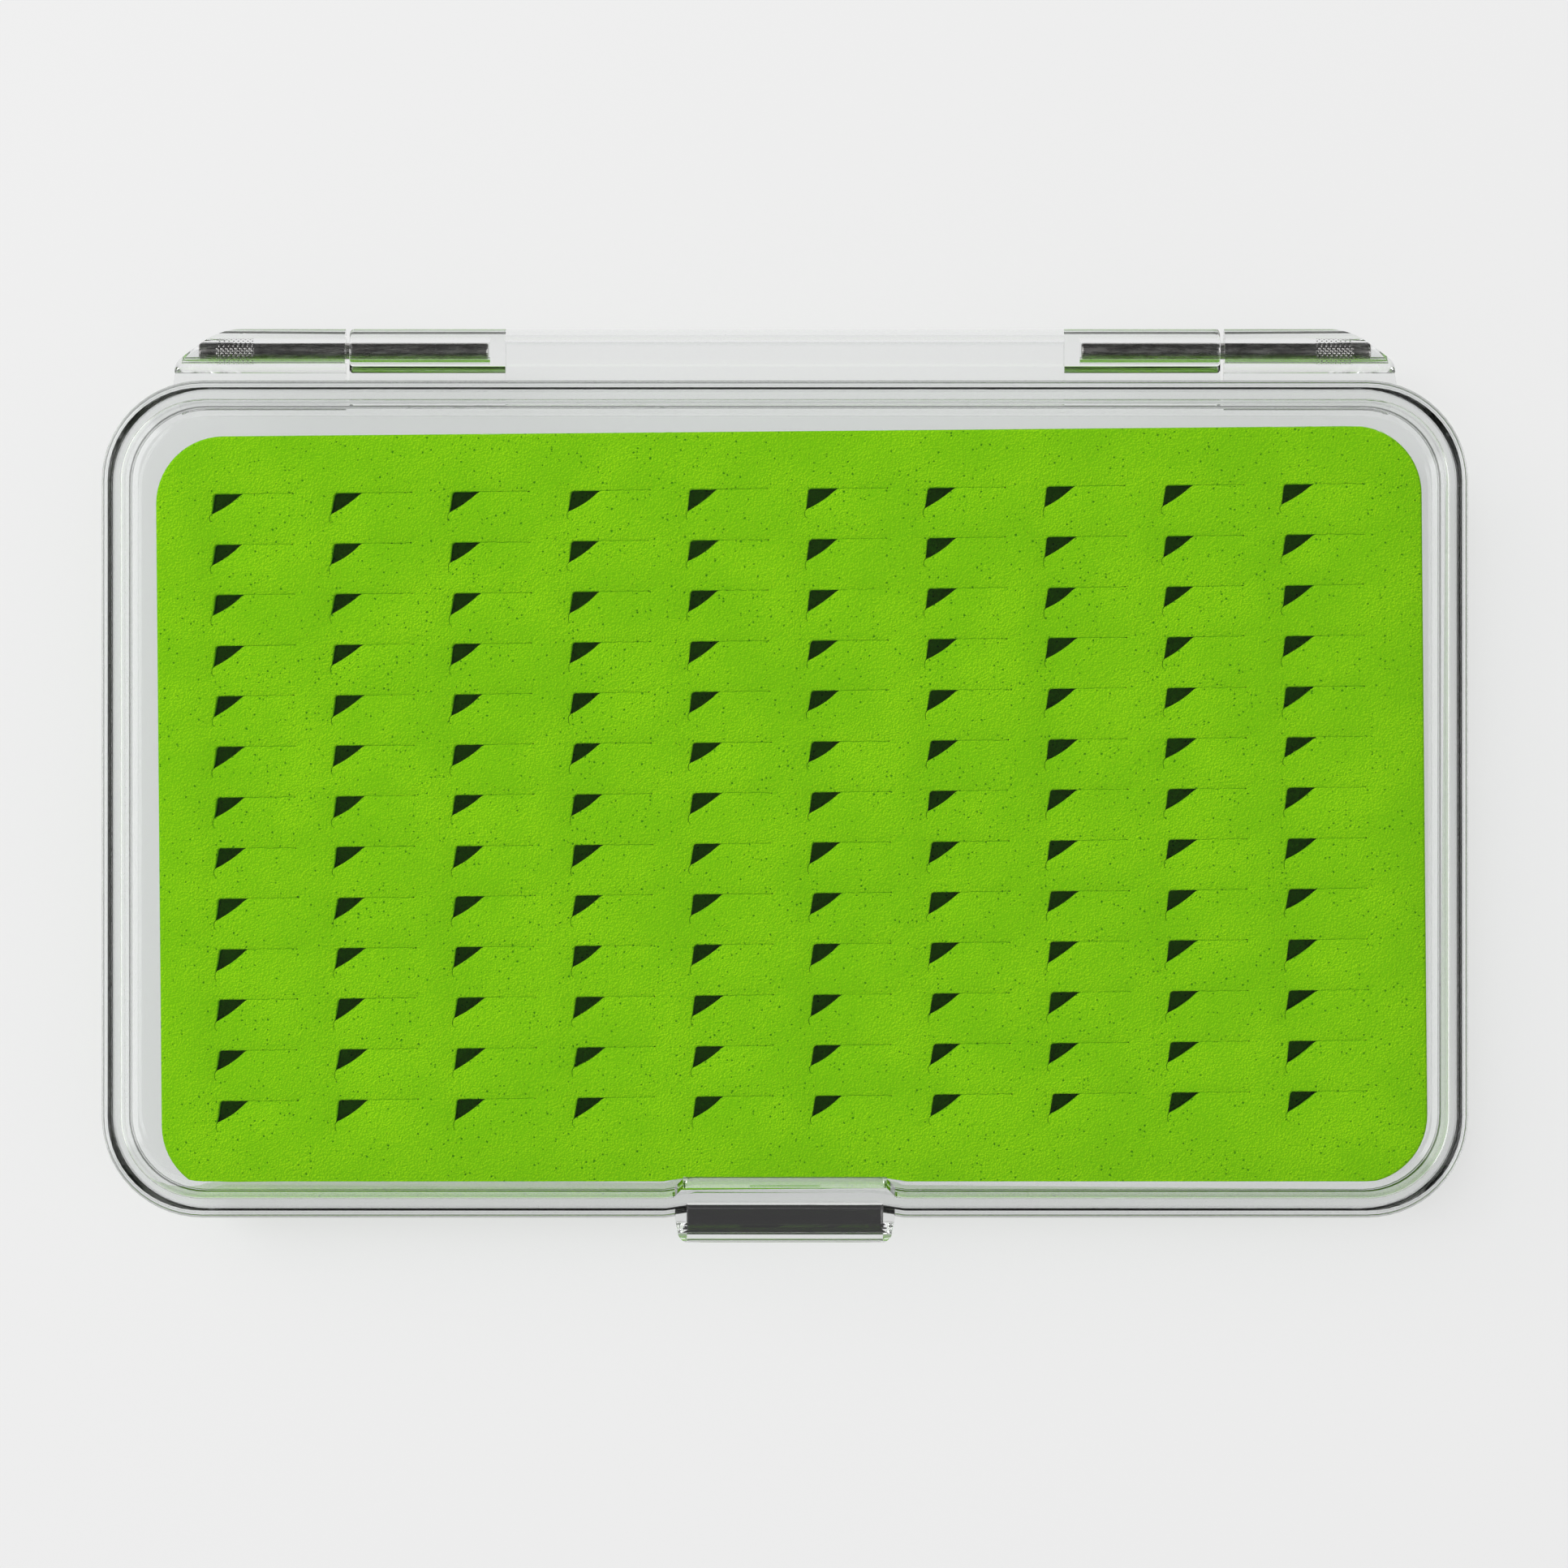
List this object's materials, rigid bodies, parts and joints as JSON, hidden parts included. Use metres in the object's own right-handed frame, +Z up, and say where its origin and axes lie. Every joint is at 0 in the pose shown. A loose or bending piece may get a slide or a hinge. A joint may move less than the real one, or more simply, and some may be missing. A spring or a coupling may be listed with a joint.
{
  "type": "fly box",
  "caption": "Slim clear fishing fly box: two clear shells on a steel-pinned rear hinge, a snap tab at the front, and a green slit foam pad glued in the base.",
  "frame": {"origin": "centre of the base's flat underside, without the hinge knuckles and the tab", "axes": "+X to the right along the long side, +Y towards the hinge, +Z up from the base to the lid"},
  "size_m": [0.15, 0.1007, 0.017],
  "materials": {
    "clear_plastic": "polished",
    "pin_steel": "satin",
    "green_foam": "matte",
    "dark_foam": "matte",
    "adhesive": "matte"
  },
  "bodies": {
    "base": {"base": "clear_plastic", "hinge_pin_left": "pin_steel", "hinge_pin_right": "pin_steel", "slit_foam": "green_foam", "foam_backing": "dark_foam", "adhesive_film": "adhesive"},
    "lid": {"lid": "clear_plastic"}
  },
  "joints": [
    {"name": "lid_hinge", "type": "hinge", "parent": "base", "child": "lid", "pos_m": [0, 0.04955, 0.0085], "axis": [-1, 0, 0], "range_deg": [0, 180]}
  ]
}
